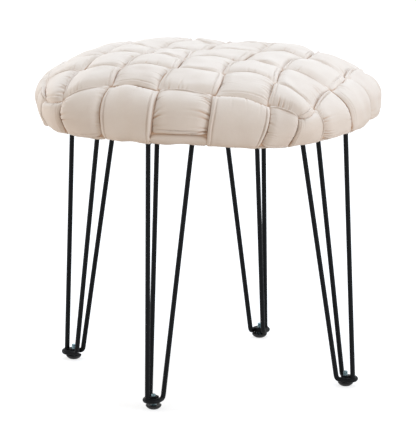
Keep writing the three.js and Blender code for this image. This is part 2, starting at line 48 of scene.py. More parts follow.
# Seat outline and the middle surface of the weave, as in the CAD model
SEAT_HALF_WIDTH = 222
OUTLINE_POWER = 2.4
CROWN_HEIGHT = 460
CROWN_DEPTH = 57
CROWN_POWER = 2.5
TUCK_DROP = 23.9
TUCK_DEPTH = 30
TUCK_POWER = 5
TAIL_THICKNESS = 1.8
BOARD_THICKNESS = 10
STRAPS_EACH_WAY = 6
SHOULDER_SHARE = 0.8945
WEAVE_CORNER_POWER = 3.6
WEAVE_EASE_POWER = 4
BAND_DEPTH = 20
CLEARANCE = 0.3

# How the cover sits on the frame, as in the CAD model: turned a little on the legs, and
# sloping down to the back
COVER_TURN = math.radians(3)
COVER_SLOPE_SHARE = 0.045
SLOPE_TOP_DEPTH = 28

# Padding: how far the weave stands out and sinks in from its middle surface along the middle
# line of a strap, how much more where two of these cross, and how that eases off towards the
# lower rim and along the tails
SEAM_RISE = 9
SEAM_SINK = 6
CREST_RISE = 2.5
CREST_SINK = 2
SEAM_POWER = 0.5
CREST_POWER = 0.8
DIVE_POWER = 0.8
LOWER_EASE = 0.4
LOWER_EASE_REACH = 0.6
ROLL_DEPTH = 6
ROLL_END_SHARE = 0.25
TAIL_FLAT_SHARES = (0.2, 0.325)
TAIL_EDGE_RADIUS = 3.2

# Edges of the straps: a padded lip with a sewn groove behind it, over the diving neighbour
LIP_RADIUS = 4.6
LIP_POWER = 0.5
LIP_OVERHANG = 1.5
LIP_BULGE = 4
LIP_BULGE_POWER = 0.9
LIP_BULGE_REACH = 9
GROOVE_DISTANCE = 6
GROOVE_WIDTH = 0.8
GROOVE_DEPTH = 0.9
DIVE_LENGTH = 15
DIVE_DROP_POWER = 2

# Straps along X, straps along Y and the ring band, as families, and the sides of the seat
ALONG_X, ALONG_Y, BAND = 0, 1, 4
RIGHT_SIDE, FRONT_SIDE = 0, 3

# Cells of the band whose lower edge has ridden up and shows the strap's tail: side and cell,
# then the share of the band's width
LEDGES = {(FRONT_SIDE, 0): 0.27}
LEDGE_POWER = 0.25

# Unevenness of the stuffing, and gathers where a strap dives under its neighbour
SEED = 11
CREST_SPREAD = 0.3
UNEVEN_WAVES = 14
UNEVEN_LENGTHS = (24, 80)
UNEVEN_SIZE = 0.22
UNEVEN_DEPTHS = (1, 4.5)
GATHER_COUNT = 7
GATHER_DEPTH = 1.3
GATHER_START = 2
GATHER_WIDTH = 1.1
GATHER_LENGTHS = (6, 17)
GATHER_PLACES = (0.08, 0.92)
GATHER_SIZES = (0.4, 1)
GATHER_SLANT = 0.3
GATHER_SHOULDER = 0.45
GATHER_SHOULDER_PLACE = 2

# Cells with strong gathers at one end: family, row, cell and end, then their number and depth.
# A row of the band is the part of it on one side.
STRONG_GATHERS = {
    (BAND, FRONT_SIDE, 0, 1): (12, 2.6), (BAND, FRONT_SIDE, 0, 0): (6, 1.9),
    (BAND, FRONT_SIDE, -2, 0): (11, 2.6), (BAND, RIGHT_SIDE, -2, 0): (9, 2.3),
    (ALONG_X, -3, 1, 1): (11, 2.6), (ALONG_X, -3, 3, 0): (8, 1.8),
    (ALONG_X, -3, -3, 0): (8, 1.8), (ALONG_X, -3, -3, 1): (9, 2),
    (ALONG_Y, -3, -3, 0): (9, 2.2), (ALONG_Y, -3, -3, 1): (7, 1.8),
    (ALONG_Y, 2, -4, 1): (10, 2.1), (ALONG_Y, -1, -4, 1): (8, 1.5),
}

# Painted shade, a brown mixed into the velvet's colour where a strap dives, at its edge, in its
# sewn groove, at the start of a tail and in the gathers
DIVE_PAINTED_SHADE = 2.2
EDGE_PAINTED_SHADE = 1.1
GROOVE_PAINTED_SHADE_SHARE = 0.12
TAIL_PAINTED_SHADE_SHARE = 0.03
FOLD_PAINTED_SHADE_SHARE = 0.9

# Sampling of the straps: along a cell and a tail, across from each edge, and down the side
CELL_STEPS = 32
CELL_EVENNESS = 0.35
TAIL_STEPS = 12
PATH_STEPS = 48
LIP_DISTANCES = [-1.5, -1.35, -1, -0.4, 0.3, 1.1, 1.9, 2.7, 3.4, 4, 4.5, 5, 5.5, 6, 6.6, 7.3, 8.1]
OUTER_EDGE_DISTANCES = LIP_DISTANCES + list(range(9, 33))
INNER_EDGE_DISTANCES = [-1.1, 0.6, 2, 5, 11, 20]

# How far each crossing that the photograph shows lies off the even pattern: the grid point,
# where a place past the shoulder is the band's lower edge, and then the offset
CROSSING_OFFSETS = {
    (-2, -3): (-13, -16, -3.7), (-2, -2): (-9.7, -2.8, 1), (-2, 0): (5.6, 6.9, 4.5),
    (-1, -3): (-11, 12, 5.9), (-1, -2): (-11.2, -2, 2.2), (-1, -1): (0.5, 1.7, 1.3),
    (-1, 0): (-2.9, -3.7, -2.5), (-1, 1): (13.8, 7.9, 2.2), (0, -3): (-7, 7, 3.4),
    (0, -2): (-3.2, 1, 2.1), (0, -1): (-9.1, -3.8, -0.1), (0, 1): (-1.4, -1.9, -1.3),
    (1, -3): (6, 10, 2.9), (1, -2): (0.7, 2.3, 1.7), (1, -1): (2.4, 2, 1.1),
    (1, 1): (16.2, 9.9, 3.6), (2, -3): (19, 13, 2.1), (2, -2): (10.9, 4.1, 0),
    (2, -1): (-2.1, 1.8, 2.3), (2, 0): (6.7, 7.6, 4.8), (2, 1): (1.8, 3, 2.2),
    (3, -3): (23, -6, -4.9), (3, -2): (10, -11, -5.1), (3, -1): (2, 1, 0.2),
    (3, 0): (-2, 8, 3.2), (3, 1): (-5, 11, 4.8), (-3, 1): (0, 0, -4), (-3, 2): (0, 0, -5),
    (-2, 2): (0, 0, -9), (-1, 2): (0, 0, -9), (-2, 3): (0, 0, -7), (3, 2): (0, 0, -4),
    (-1, 3): (0, 0, -9), (0, 2): (0, 0, -6), (1, 2): (0, 0, -5), (1, 3): (0, 0, -4),
    (-2, -4): (-8, -11, 1), (-1, -4): (-3, -8, 2), (0, -4): (-5, -9, 2),
    (0.5, -4): (-2, -5, -1), (1, -4): (0, -2, 2), (2, -4): (13, -8, -1), (3, -4): (11, -8, -2),
    (4, -2): (15, -6, -1), (4, -1): (17, 3, 0), (4, 0): (12, 0, 0), (4, 1): (12, 0, 0),
}
OFFSET_REACH = 45
OFFSET_EASE = 0.02
FLAT_HEIGHTS = (385, 400)
FLAT_RADII = (203, 212)

# Foam core and dust cover, which both follow the seat outline
SEAT_STEPS = 96
FOAM_DEPTH_UNDER_WEAVE = 11.5
FOAM_RING_SHARES = [1, 0.985, 0.96, 0.92, 0.87, 0.8, 0.7, 0.55, 0.4, 0.2, 0.05]
DUST_COVER_THICKNESS = 0.6
DUST_COVER_INSET = 20
DUST_COVER_STEPS = 24

# Legs: the CAD model's sizes, with finer surfaces and a coat of paint on the rods
FOOT_INSET = 15
LEG_RAISES = [3.3, 0, 0, 0]
LEG_TWIST = math.radians(-4)
ROD_RADIUS = 3
COATED_ROD_RADIUS = 3.45
LOOP_UNDERSIDE = 7.4
LOOP_RADIUS = 9.8
LOOP_OUTWARD_SHIFT = 4.5
LOOP_STEPS = 25
LOOP_BEND_RADIUS = 6.5
LOOP_BEND_STEPS = 10
ARM_FOOT_INWARD = 9.5
ARM_TOP_SIDE_SHIFT = 5.2
ARM_TOP_HALF_SPREAD = 27.1
ARM_TOP_INWARD = 61.4
OUTER_ROD_FOOT = (-3.4, -12.4)
OUTER_ROD_TOP = (-5.6, -0.5)
PLATE_THICKNESS = 2.5
ROUND_SIDES = 32
SHARP_ANGLE = math.radians(38)

# A direction that no rod follows, to start the sides of its first section
SIDE_START = (0.3, 1, 0.1)

# Welds: how far the rod flares at each distance from its end
WELD_DROPS = [0, 0.5, 1.1, 1.8, 2.6, 3.6]
WELD_FLARES = [2.3, 1.6, 0.9, 0.4, 0.1, 0]

# Weld nuts, with chamfered corners
NUT_HALF_WIDTH = 6.5
NUT_SIDE_TURN = math.pi / 3
NUT_BELOW_LOOP = 2.5
NUT_ABOVE_LOOP = 4.5
NUT_BORE_RADIUS = 3.3
NUT_CHAMFER = 0.9
NUT_CHAMFER_POWER = 1.5
NUT_CHAMFER_SHARES = np.linspace(0.2, 1, 5)

# Levellers: a threaded stud with a flange, and a pad given by radii and heights
FLANGE_BOTTOM = 5.3
FLANGE_RADIUS = 4.3
FLANGE_THICKNESS = 1.1
STUD_RADIUS = 3
STUD_LENGTH = 15
STUD_EDGE = 0.3
THREAD_PITCH = 1
THREAD_DEPTH = 0.45
THREAD_STEPS = 8
PAD_PROFILE = [
    (5.2, 0), (5.6, 0.1), (6.6, 0.5), (7.7, 1.15), (8.8, 2), (9.7, 2.9), (10.4, 3.8), (10.8, 4.5),
    (11, 5.1), (11, 5.5), (10.85, 5.9), (10.5, 6.15), (10, 6.2), (8, 5.9), (5.6, 5.4), (5, 5.2),
    (4.7, 4.9), (4.6, 4.4),
]

# Wood screws with domed heads and crossed recesses: places beside and inwards from the foot
SCREW_PLACES = [(-17, 30), (17, 30), (-33, 72), (33, 72)]
SCREW_RADIUS = 2
SCREW_TIP_COVER = 1.1
SCREW_TIP_RADIUS = 0.3
SCREW_POINT = 3
SCREW_HEAD_RADIUS = 4.2
SCREW_HEAD_HEIGHT = 2.4
SCREW_HEAD_SHARES = np.linspace(0, 0.97, 18)
RECESS_RADIUS = 2.5
RECESS_HALF_WIDTH = 0.6
RECESS_DEPTH = 1.5

# Derived heights and widths
WIDEST_HEIGHT = CROWN_HEIGHT - CROWN_DEPTH
TAIL_HEIGHT = WIDEST_HEIGHT - TUCK_DROP
TAIL_UNDERSIDE = TAIL_HEIGHT - TAIL_THICKNESS / 2
BOARD_TOP = TAIL_HEIGHT + TAIL_THICKNESS / 2 + 2 * CLEARANCE + BOARD_THICKNESS
FOAM_BOTTOM = BOARD_TOP + CLEARANCE
DUST_COVER_HEIGHT = TAIL_UNDERSIDE - CLEARANCE - DUST_COVER_THICKNESS / 2
PLATE_UNDERSIDE = TAIL_UNDERSIDE - 2 * CLEARANCE - DUST_COVER_THICKNESS - PLATE_THICKNESS
ROD_TOP = PLATE_UNDERSIDE - CLEARANCE
FOOT_RADIUS = SEAT_HALF_WIDTH - FOOT_INSET
LOOP_HEIGHT = LOOP_UNDERSIDE + ROD_RADIUS
STUD_NECK = FLANGE_BOTTOM + FLANGE_THICKNESS
STUD_TOP = STUD_NECK + STUD_LENGTH
SCREW_TIP = BOARD_TOP - SCREW_TIP_COVER
HALF_COUNT = STRAPS_EACH_WAY / 2
STRAP_PITCH = SEAT_HALF_WIDTH * SHOULDER_SHARE / HALF_COUNT


# Curves and turns


def power_sum(x, y, power):
    return (np.abs(x) ** power + np.abs(y) ** power) ** (1 / power)


def unit(vectors):
    """Vectors made one long. Those without a length stay so."""
    return vectors / np.maximum(np.linalg.norm(vectors, axis=-1, keepdims=True), LEAST_LENGTH)


def smoothstep(values, limits):
    part = np.clip((values - limits[0]) / (limits[1] - limits[0]), 0, 1)
    return part * part * (3 - 2 * part)


def swell(share):
    """0 at both ends of a span and 1 in its middle."""
    return np.sin(math.pi * np.clip(share, 0, 1))


def bell(distances, width):
    """1 in the middle, dying out both ways over the width."""
    return np.exp(-((distances / width) ** 2))


def turn_round_z(points, angle):
    return points @ np.array(Matrix.Rotation(angle, 3, "Z")).T


def turned(places, quarters):
    """Points and their normals, turned from the side where they are drawn."""
    return [turn_round_z(values, quarters * QUARTER_TURN) for values in places]


# Middle surface of the weave


def outline_slope(x, y):
    total = np.maximum(power_sum(x, y, OUTLINE_POWER), CLEARANCE)
    pull = [np.sign(v) * (np.abs(v) / total) ** (OUTLINE_POWER - 1) for v in (x, y)]
    return np.stack([*pull, np.zeros_like(pull[0])], -1)


def outline_reach(x, y):
    return SEAT_HALF_WIDTH * np.hypot(x, y) / power_sum(x, y, OUTLINE_POWER)


def crown_places(x, y):
    """Points of the crowned top and their outward normals."""
    share = np.minimum(power_sum(x, y, OUTLINE_POWER) / SEAT_HALF_WIDTH, 1)
    rise = np.sqrt(1 - share**CROWN_POWER)
    fall = CROWN_DEPTH * CROWN_POWER * share ** (CROWN_POWER - 1) / 2 / SEAT_HALF_WIDTH
    normals = outline_slope(x, y) * fall[..., None]
    normals[..., 2] = rise
    return np.stack([x, y, WIDEST_HEIGHT + CROWN_DEPTH * rise], -1), unit(normals)


def tuck_places(x, y, turn):
    """Points of the drawn-in lower side, for one direction, and their outward normals."""
    across = np.maximum(0, np.cos(turn)) ** (2 / TUCK_POWER)
    down = np.sin(turn) ** (2 / TUCK_POWER)
    reach = outline_reach(x, y) - TUCK_DEPTH * (1 - across)
    way = np.array([x, y]) / math.hypot(x, y)
    points = np.stack([way[0] * reach, way[1] * reach, WIDEST_HEIGHT - TUCK_DROP * down], -1)
    level = unit(outline_slope(np.array(x), np.array(y)))
    normals = level * (across ** (TUCK_POWER - 1) / TUCK_DEPTH)[..., None]
    normals[..., 2] = -(down ** (TUCK_POWER - 1)) / TUCK_DROP
    return points, unit(normals)


def grid_plan(a, b):
    """Plan position of a grid point of the woven top."""
    far = np.maximum(np.maximum(np.abs(a), np.abs(b)), CLEARANCE / STRAP_PITCH)
    corner = 1 / power_sum(a / far, b / far, WEAVE_CORNER_POWER)
    scale = STRAP_PITCH * (1 - (1 - corner) * (far / HALF_COUNT) ** WEAVE_EASE_POWER)
    return a * scale, b * scale


def path_lengths(points):
    return np.concatenate([[0], np.cumsum(np.linalg.norm(np.diff(points, axis=0), axis=1))])


def side_path(place):
    """The way down the +X side from the shoulder to the tails' ends, with its normals."""
    steps = np.linspace(0, 1, PATH_STEPS)
    band_turn = math.asin((BAND_DEPTH / TUCK_DROP) ** (TUCK_POWER / 2))
    tail_turns = band_turn + (QUARTER_TURN - band_turn) * steps[1:]
    x, y = grid_plan(np.array(HALF_COUNT), np.array(place))
    start_share = power_sum(x, y, OUTLINE_POWER) / SEAT_HALF_WIDTH
    start_rise = math.sqrt(1 - start_share**CROWN_POWER)
    share = (1 - (start_rise * (1 - steps)) ** 2) ** (1 / CROWN_POWER)
    crown = crown_places(x * share / start_share, y * share / start_share)
    lower = tuck_places(x, y, np.concatenate([band_turn * steps[1:], tail_turns]))
    return [np.concatenate(pair) for pair in zip(crown, lower)]


def side_places(beyond, across, side):
    """Places on one side, drawn as the +X side. 0 to 1 beyond the shoulder is the band, and
    1 to 2 is the tail."""
    points = np.empty((len(beyond), len(across), 3))
    normals = np.empty_like(points)
    for j, place in enumerate(across):
        path, ways = side_path(place)
        lengths = path_lengths(path)
        band_length = lengths[2 * PATH_STEPS - 2]
        tail_length = lengths[-1] - band_length
        cell = math.floor(min(max(place, -HALF_COUNT), HALF_COUNT - 1))
        ride = LEDGES.get((side, cell), 0) * swell(place - cell) ** LEDGE_POWER
        roll_end = band_length + ROLL_END_SHARE * tail_length
        stops = [0, band_length * (1 - ride), roll_end, lengths[-1]]
        wanted = np.interp(beyond, [0, 1, 1 + ROLL_END_SHARE, 2], stops)
        for values, target in ((path, points), (ways, normals)):
            target[:, j] = np.stack([np.interp(wanted, lengths, row) for row in values.T], -1)
    return points, unit(normals)


def strap_places(along, across, family):
    """Places on the middle surface for a strap along X, in grid units."""
    points = np.empty((len(along), len(across), 3))
    normals = np.empty_like(points)
    top = np.abs(along) <= HALF_COUNT
    grid = np.meshgrid(along[top], across, indexing="ij")
    points[top], normals[top] = crown_places(*grid_plan(*grid))
    right = along > HALF_COUNT
    points[right], normals[right] = side_places(along[right] - HALF_COUNT, across, family)
    left = along < -HALF_COUNT
    left_side = side_places(-along[left] - HALF_COUNT, -across, family + 2)
    points[left], normals[left] = turned(left_side, 2)
    return points, normals


# Padding of one cell, where two straps cross. Its ends are the end along the strap and the
# end across it, 0 or 1, that reach the lower rim, where nothing crosses it, or else None.


def weave_depths(first, second):
    """How far the weave stands out and in from the middle surface."""
    seam = (first + second - first * second) ** SEAM_POWER
    crest = (first * second) ** CREST_POWER
    return SEAM_RISE * seam + CREST_RISE * crest, -(SEAM_SINK * seam + CREST_SINK * crest)


def opened(share, end):
    """A swell that keeps its full height up to an end at the lower rim."""
    if end is None:
        return swell(share)
    return np.where(np.abs(share - end) < HALF_WAY, 1, swell(share))


def rim_ease(share, end):
    """The cover stands out less towards the lower rim."""
    if end is None:
        return 1
    return 1 - LOWER_EASE * smoothstep(np.abs(share - end), (LOWER_EASE_REACH, 0))


def edge_distance(across_share):
    """Distance from the edge of a strap, which overhangs its cell by a lip."""
    return LIP_OVERHANG + np.minimum(across_share, 1 - across_share) * STRAP_PITCH


def dividing_depth(along_share, across_share, ends):
    """The depth where an upper strap ends and the lower one begins."""
    outer = weave_depths(opened(along_share, ends[0]), opened(across_share, ends[1]))[0]
    outer = outer * rim_ease(along_share, ends[0]) * rim_ease(across_share, ends[1])
    inner = weave_depths(swell(along_share), swell(across_share))[1]
    along, across = swell(along_share) ** DIVE_POWER, swell(across_share) ** DIVE_POWER
    even = np.full_like(outer, HALF_WAY)
    cut = np.divide(along, along + across, out=even, where=along + across > 0)
    lip = 2 * LIP_RADIUS * opened(along_share, ends[0]) ** LIP_POWER
    return inner + (outer - lip - inner) * cut


def lip_roll(edge, radius):
    """How far a rounded edge falls at a distance from it."""
    turn = np.clip(1 - edge / radius, 0, 1)
    return radius * (1 - np.sqrt(1 - turn**2))


def cell_draws(cell_name):
    """Random draws that are the same for a cell each time."""
    return np.random.default_rng([SEED, *(int(part + STRAPS_EACH_WAY) for part in cell_name)])


def gathers(along, across, draws, count, depth):
    """Narrow valleys between soft ridges, which run in from a diving end and die out."""
    relief = np.zeros(np.broadcast_shapes(along.shape, across.shape))
    for _ in range(count):
        place = draws.uniform(*GATHER_PLACES) * STRAP_PITCH
        slant = draws.uniform(-GATHER_SLANT, GATHER_SLANT)
        length = draws.uniform(*GATHER_LENGTHS)
        size = depth * draws.uniform(*GATHER_SIZES)
        off = np.abs(across - place - slant * along) / GATHER_WIDTH
        valley = bell(off, 1) - GATHER_SHOULDER * bell(off - GATHER_SHOULDER_PLACE, 1)
        relief += size * valley * bell(along, length)
    return relief


def cell_folds(along_share, across_share, cell_name, ends):
    """Depth of the gathers in a cell, which fade at its edges and at the very end."""
    draws = cell_draws(cell_name)
    across = opened(across_share, ends[1])
    total = np.zeros(np.broadcast_shapes(along_share.shape, across_share.shape))
    for end in (0, 1):
        along = np.abs(along_share - end) * STRAP_PITCH
        count, depth = STRONG_GATHERS.get((*cell_name, end), (GATHER_COUNT, GATHER_DEPTH))
        folds = gathers(along, across_share * STRAP_PITCH, draws, count, depth) * across**LIP_POWER
        if end != ends[0]:
            total += folds * (1 - bell(along, GATHER_START))
    return total


def over_depths(along_share, across_share, cell_name, ends):
    """Outer and inner depth of a strap in a cell where it lies over the other one."""
    along, across = opened(along_share, ends[0]), opened(across_share, ends[1])
    spread = cell_draws(cell_name).uniform(-CREST_SPREAD, CREST_SPREAD)
    outer, _ = weave_depths(along, across)
    outer += CREST_RISE * spread * swell(along_share) * swell(across_share)
    outer *= rim_ease(along_share, ends[0]) * rim_ease(across_share, ends[1])
    edge = edge_distance(across_share)
    roll = along**LIP_POWER * lip_roll(edge, LIP_RADIUS)
    groove = GROOVE_DEPTH * along**LIP_POWER * bell(edge - GROOVE_DISTANCE, GROOVE_WIDTH)
    outer -= roll + groove + cell_folds(along_share, across_share, cell_name, ends)
    for end in (0, 1):
        if end != ends[0]:
            nearing = 1 - np.minimum(np.abs(along_share - end) * STRAP_PITCH / DIVE_LENGTH, 1)
            outer -= 2 * LIP_RADIUS * across**LIP_POWER * nearing**DIVE_DROP_POWER
    return outer, dividing_depth(along_share, across_share, ends) + roll + CLEARANCE / 2


def under_depths(along_share, across_share, ends):
    """Outer and inner depth of a strap in a cell where it lies under the other one."""
    _, inner = weave_depths(swell(along_share), swell(across_share))
    divide = dividing_depth(across_share, along_share, ends[::-1])
    return divide - CLEARANCE / 2, inner + CLEARANCE / 2


def cell_depths(along_share, across_share, over, cell_name, ends):
    if over:
        return over_depths(along_share, across_share, cell_name, ends)
    return under_depths(along_share, across_share, ends)


def tail_depths(beyond, across_share, over):
    """A tail hangs as a padded roll outside the plates and then lies flat under the board."""
    across = swell(across_share)
    edge = np.clip(np.minimum(across_share, 1 - across_share), 0, 1) * STRAP_PITCH
    if over:
        rise = SEAM_RISE + CREST_RISE * across**CREST_POWER
        first = rise * (1 - LOWER_EASE) - lip_roll(edge + LIP_OVERHANG, LIP_RADIUS)
    else:
        first = SEAM_RISE * (1 - LOWER_EASE) - 2 * LIP_RADIUS * across**LIP_POWER
    flat = smoothstep(beyond, TAIL_FLAT_SHARES)
    roll = (ROLL_DEPTH - lip_roll(edge, TAIL_EDGE_RADIUS)) * (1 - flat)
    half = TAIL_THICKNESS / 2
    outer = np.maximum(half, roll + (first - roll) * bell(beyond, ROLL_END_SHARE / 2))
    return outer, -np.maximum(half, SEAM_SINK * across**SEAM_POWER * (1 - beyond) ** 2)


def edge_shares(distances):
    """Shares across a strap, at the distances from both edges and in the middle."""
    shares = np.array(distances) / STRAP_PITCH
    return np.concatenate([shares, [HALF_WAY], 1 - shares[::-1]])


EVEN_SHARES = np.linspace(0, 1, CELL_STEPS, endpoint=False)
CLOSE_SHARES = (1 - np.cos(math.pi * EVEN_SHARES)) / 2
CELL_SHARES = CELL_EVENNESS * EVEN_SHARES + (1 - CELL_EVENNESS) * CLOSE_SHARES
OUTER_SHARES = edge_shares(OUTER_EDGE_DISTANCES)
INNER_SHARES = edge_shares(INNER_EDGE_DISTANCES)


def unevenness(points):
    """Low swellings in all directions, over the whole cover."""
    draws = np.random.default_rng(SEED)
    total = np.zeros(points.shape[:-1])
    for _ in range(UNEVEN_WAVES):
        way = unit(draws.normal(size=3)) * 2 * math.pi / draws.uniform(*UNEVEN_LENGTHS)
        total += UNEVEN_SIZE * np.sin(points @ way + draws.uniform(0, 2 * math.pi))
    return total


def cell_painted_shade(along_share, across_share, cell_name, ends):
    """How much painted shade a cell gets where the strap lies over the other one, from 0 to 1."""
    dives = [np.abs(along_share - end) * STRAP_PITCH for end in (0, 1) if end != ends[0]]
    edge = edge_distance(across_share)
    folds = cell_folds(along_share, across_share, cell_name, ends)
    shades = [
        *(bell(distance, DIVE_PAINTED_SHADE) for distance in dives),
        bell(edge, EDGE_PAINTED_SHADE),
        GROOVE_PAINTED_SHADE_SHARE * bell(edge - GROOVE_DISTANCE, GROOVE_WIDTH),
        # painted shade in the valleys of the gathers
        FOLD_PAINTED_SHADE_SHARE * np.clip(folds / GATHER_DEPTH, 0, 1) ** 2,
    ]
    return np.maximum.reduce(np.broadcast_arrays(*shades))


def cell_lift_and_shade(over, cell_name, ends):
    """How far the lips bulge along a cell, as a share, and the painted shade of its outer face."""
    if not over:
        return np.zeros(CELL_STEPS), np.ones((CELL_STEPS, len(OUTER_SHARES)))
    painted_shade = cell_painted_shade(CELL_SHARES[:, None], OUTER_SHARES[None], cell_name, ends)
    return swell(CELL_SHARES) ** LIP_BULGE_POWER, painted_shade


def tail_lift_and_shade(beyond, over):
    """The same for a tail, which gets painted shade only where it comes out from under the band."""
    painted_tail_shade = np.zeros(len(beyond)) if over else bell(beyond, TAIL_PAINTED_SHADE_SHARE)
    return np.zeros(len(beyond)), np.broadcast_to(painted_tail_shade[:, None], (len(beyond), len(OUTER_SHARES)))


# Straps and ring band


def strip_faces(places_at, depths_at, lift, painted_shade):
    """Outer and inner face of a strip, as rows of points across it, each with its painted shade as
    a fourth value. The lip of a lifted cell bulges sideways over its neighbour."""
    faces = []
    for face, shares in enumerate((OUTER_SHARES, INNER_SHARES)):
        points, normals = places_at(shares)
        depths = depths_at(shares, face)
        if face == 0:
            depths = depths + unevenness(points) * smoothstep(depths, UNEVEN_DEPTHS)
        points = points + normals * depths[..., None]
        sideways = unit(np.gradient(points, axis=1))
        bulge = LIP_BULGE * np.sign(shares - HALF_WAY)
        bulge = bulge * bell(edge_distance(shares), LIP_BULGE_REACH)
        points = points + sideways * (lift[:, None] * bulge)[..., None]
        shade = painted_shade if face == 0 else np.ones(points.shape[:-1])
        faces.append(np.concatenate([points, shade[..., None]], -1))
    return faces


def rim_ends(cell):
    """The ends of a strap's cell that reach the lower rim."""
    return {-HALF_COUNT - 1: 0, HALF_COUNT: 1}.get(cell), None


def strap_rings(row, family):
    """Rings round a strap along X: the outer points one way, then the inner points back. Its
    spans are a tail, the cells and a tail, each with its cell, places and shares of the cell."""
    end = HALF_COUNT + 1
    tail = np.linspace(0, 1, TAIL_STEPS)
    spans = [(-end, -end - tail[:0:-1], None)]
    spans += [(cell, cell + CELL_SHARES, CELL_SHARES) for cell in np.arange(-end, end)]
    spans += [(HALF_COUNT, end + tail, None)]

    def span_depths(cell, along, shares, across):
        over = (cell + row) % 2 == 0
        if shares is None:
            return tail_depths(np.abs(along)[:, None] - end, across[None], over)
        return cell_depths(shares[:, None], across[None], over, (family, row, cell), rim_ends(cell))

    def span_lift_and_shade(cell, along, shares):
        over = (cell + row) % 2 == 0
        if shares is None:
            return tail_lift_and_shade(np.abs(along) - end, over)
        return cell_lift_and_shade(over, (family, row, cell), rim_ends(cell))

    def places_at(across):
        along = np.concatenate([places for _, places, _ in spans])
        return strap_places(along, row + across, family)

    def depths_at(across, face):
        return np.concatenate([span_depths(*span, across)[face] for span in spans])

    lift_and_shade = [np.concatenate(parts) for parts in zip(*(span_lift_and_shade(*span) for span in spans))]
    outer, inner = strip_faces(places_at, depths_at, *lift_and_shade)
    return np.concatenate([outer[:, ::-1], inner], axis=1)


def band_cell_rings(side, cell):
    """Rings round the band in one cell."""
    over = cell % 2 == 0
    name = (BAND, side, cell)
    ends = (None, 1)

    def places_at(beyond):
        places = side_places(np.clip(beyond, 0, 2), cell + CELL_SHARES, side)
        return [values.swapaxes(0, 1) for values in turned(places, side)]

    def depths_at(beyond, face):
        return cell_depths(CELL_SHARES[:, None], beyond[None], over, name, ends)[face]

    outer, inner = strip_faces(places_at, depths_at, *cell_lift_and_shade(over, name, ends))
    return np.concatenate([outer, inner[:, ::-1]], axis=1)


def band_rings():
    """Rings round the band, which runs through the cells of all four sides."""
    cells = np.arange(-HALF_COUNT, HALF_COUNT)
    sides = range(len(LEG_NAMES))
    return np.concatenate([band_cell_rings(side, cell) for side in sides for cell in cells])


# Irregular pull of the crossings


def crossing_place(a, b):
    """A grid point of the top, or a place on the band's lower edge in front or on the right."""
    if b < -HALF_COUNT:
        return turned(side_places(np.ones(1), np.array([a]), FRONT_SIDE), FRONT_SIDE)[0][0, 0]
    if a > HALF_COUNT:
        return side_places(np.ones(1), np.array([b]), RIGHT_SIDE)[0][0, 0]
    return crown_places(*grid_plan(np.array(a), np.array(b)))[0]


def sloped(points):
    """The turn and slope that the CAD model's cover has."""
    moved = turn_round_z(points, COVER_TURN)
    part = smoothstep(moved[..., 2], (BOARD_TOP + CLEARANCE, CROWN_HEIGHT - SLOPE_TOP_DEPTH))
    moved[..., 2] -= part * COVER_SLOPE_SHARE * moved[..., 1]
    return moved


def nearness(points, others):
    return np.exp(-np.sum((points[..., None, :] - others) ** 2, -1) / (2 * OFFSET_REACH**2))


CROSSINGS = sloped(np.array([crossing_place(*place) for place in CROSSING_OFFSETS]))
OFFSET_SHARES = np.linalg.solve(
    nearness(CROSSINGS, CROSSINGS) + OFFSET_EASE * np.eye(len(CROSSINGS)),
    np.array(list(CROSSING_OFFSETS.values()), dtype=float),
)


def settle(rings):
    """Turns, slopes and pulls the cover, but leaves what lies flat under the board in its place,
    and what hangs low is not pulled inwards over the dust cover."""
    moved = sloped(rings[..., :3])
    radius = power_sum(moved[..., 0], moved[..., 1], OUTLINE_POWER)
    high = smoothstep(moved[..., 2], FLAT_HEIGHTS)
    free = np.maximum(high, smoothstep(radius, FLAT_RADII))
    moved += free[..., None] * (nearness(moved, CROSSINGS) @ OFFSET_SHARES)
    outwards = np.maximum(radius / power_sum(moved[..., 0], moved[..., 1], OUTLINE_POWER), 1)
    moved[..., :2] *= (high + (1 - high) * outwards)[..., None]
    return np.concatenate([moved, rings[..., 3:]], -1)


# Meshes


def mesh_object(name, points, faces, material):
    mesh = bpy.data.meshes.new(name)
    mesh.from_pydata((np.asarray(points, dtype=float) * MM).tolist(), [], faces)
    mesh.shade_smooth()
    mesh.materials.append(material)
    piece = bpy.data.objects.new(name, mesh)
    bpy.context.scene.collection.objects.link(piece)
    return piece


def ring_mesh(name, rings, material, looped=False):
    """A closed skin over rings of points. A fourth value of the points is kept as painted shade."""
    count, size = rings.shape[:2]
    i = np.arange(count if looped else count - 1)[:, None]
    j = np.arange(size)[None]
    following, side = (i + 1) % count, (j + 1) % size
    corners = [i * size + j, i * size + side, following * size + side, following * size + j]
    faces = np.stack(np.broadcast_arrays(*corners), -1).reshape(-1, 4).tolist()
    if not looped:
        faces += [list(range(size))[::-1], list(range((count - 1) * size, count * size))]
    piece = mesh_object(name, rings[..., :3].reshape(-1, 3), faces, material)
    if rings.shape[-1] > 3:
        painted_shade = piece.data.attributes.new("painted_shade", "FLOAT", "POINT")
        painted_shade.data.foreach_set("value", rings[..., 3].astype(np.float32).ravel())
    return piece


# Materials, whose noise scales are per metre


def new_material(name):
    material = bpy.data.materials.new(name)
    material.use_nodes = True
    return material, material.node_tree, material.node_tree.nodes["Principled BSDF"]


def set_values(node, values):
    for socket, value in values.items():
        node.inputs[socket].default_value = value


def add_node(tree, kind, **values):
    node = tree.nodes.new(f"ShaderNode{kind}")
    set_values(node, values)
    return node


def grain(scale, detail, roughness=0.5):
    """The values of a noise."""
    return {"Scale": scale, "Detail": detail, "Roughness": roughness}


def bump(noise, strength, height):
    """A noise and the values of a bump that follows it."""
    return noise, {"Strength": strength, "Distance": height * MM}


def add_noise(tree, coords, noise):
    node = add_node(tree, "TexNoise", **noise)
    tree.links.new(coords, node.inputs["Vector"])
    return node.outputs["Fac"]


